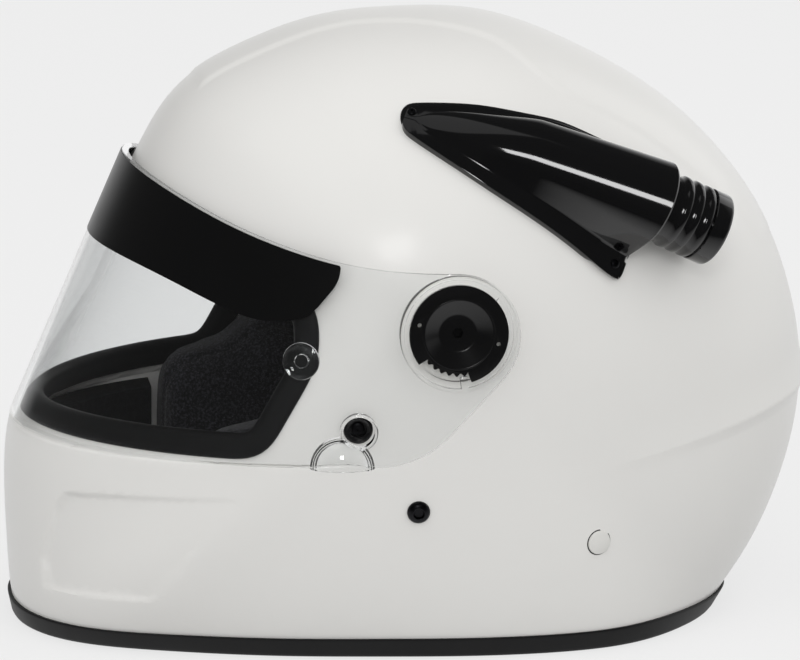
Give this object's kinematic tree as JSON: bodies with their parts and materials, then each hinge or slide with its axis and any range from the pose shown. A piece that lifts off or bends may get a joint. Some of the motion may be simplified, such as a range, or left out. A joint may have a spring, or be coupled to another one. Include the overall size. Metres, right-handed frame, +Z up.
{
  "type": "auto racing helmet",
  "caption": "Full-face auto racing helmet with a hinged clear visor, a side air intake with a hose spigot, linings, a chin strap with rings and head-restraint anchors.",
  "frame": {"origin": "on the plane that the helmet stands on, in its plane of symmetry, straight under the visor's pivot axis", "axes": "+Z up, -Y the way the wearer faces, +X the wearer's left"},
  "size_m": [0.2655, 0.3487, 0.2601],
  "materials": {
    "shell_gloss": "white gloss lacquer over a moulded composite",
    "intake_gloss": "black gloss moulding",
    "white_plastic": "white moulded plug",
    "black_rubber": "soft satin rubber",
    "clear_visor": "clear polished polycarbonate",
    "clear_post": "clear polished plastic",
    "strip_film": "gloss black film",
    "black_plastic": "satin black moulded nylon",
    "dark_metal": "blackened steel",
    "bare_steel": "plain steel",
    "liner_foam": "moulded foam beads",
    "lining_cloth": "dark knitted cloth over soft foam",
    "webbing": "flat woven webbing"
  },
  "bodies": {
    "helmet": {"air_intake": "intake_gloss", "air_intake_gasket": "black_rubber", "air_intake_screws": "dark_metal", "base_trim": "black_rubber", "cheek_pad_left": "lining_cloth", "cheek_pad_right": "lining_cloth", "chin_liner": "liner_foam", "chin_strap_left": "webbing", "chin_strap_right": "webbing", "crown_pad": "lining_cloth", "eyeport_gasket": "black_rubber", "hose_spigot": "intake_gloss", "impact_liner": "liner_foam", "latch_post": "black_plastic", "latch_rivet": "dark_metal", "neck_roll": "lining_cloth", "outer_shell": "shell_gloss", "pivot_base_left": "white_plastic", "pivot_base_right": "white_plastic", "pivot_nut_left": "dark_metal", "pivot_nut_right": "dark_metal", "pivot_screw_left": "black_plastic", "pivot_screw_right": "black_plastic", "ratchet_ring_left": "black_plastic", "ratchet_ring_right": "black_plastic", "restraint_insert_left": "dark_metal", "restraint_insert_right": "dark_metal", "restraint_plug_left": "white_plastic", "restraint_plug_right": "white_plastic", "strap_anchor_nuts": "bare_steel", "strap_anchor_screws": "dark_metal", "strap_snap": "black_plastic"},
    "visor": {"visor": "clear_visor", "sun_strip": "strip_film", "tear_off_post_left": "clear_post", "tear_off_post_right": "clear_post"},
    "strap_rings": {"d_ring_upper": "bare_steel", "d_ring_lower": "bare_steel"}
  },
  "joints": [
    {"name": "visor_hinge", "type": "hinge", "parent": "helmet", "child": "visor", "pos_m": [0, 0, 0.1425], "axis": [-1, 0, 0], "range_deg": [0, 53]},
    {"name": "strap_rings_hinge", "type": "hinge", "parent": "helmet", "child": "strap_rings", "pos_m": [0.054, -0.0149, 0.011], "axis": [0, 1, 0], "range_deg": [0, 110]}
  ]
}
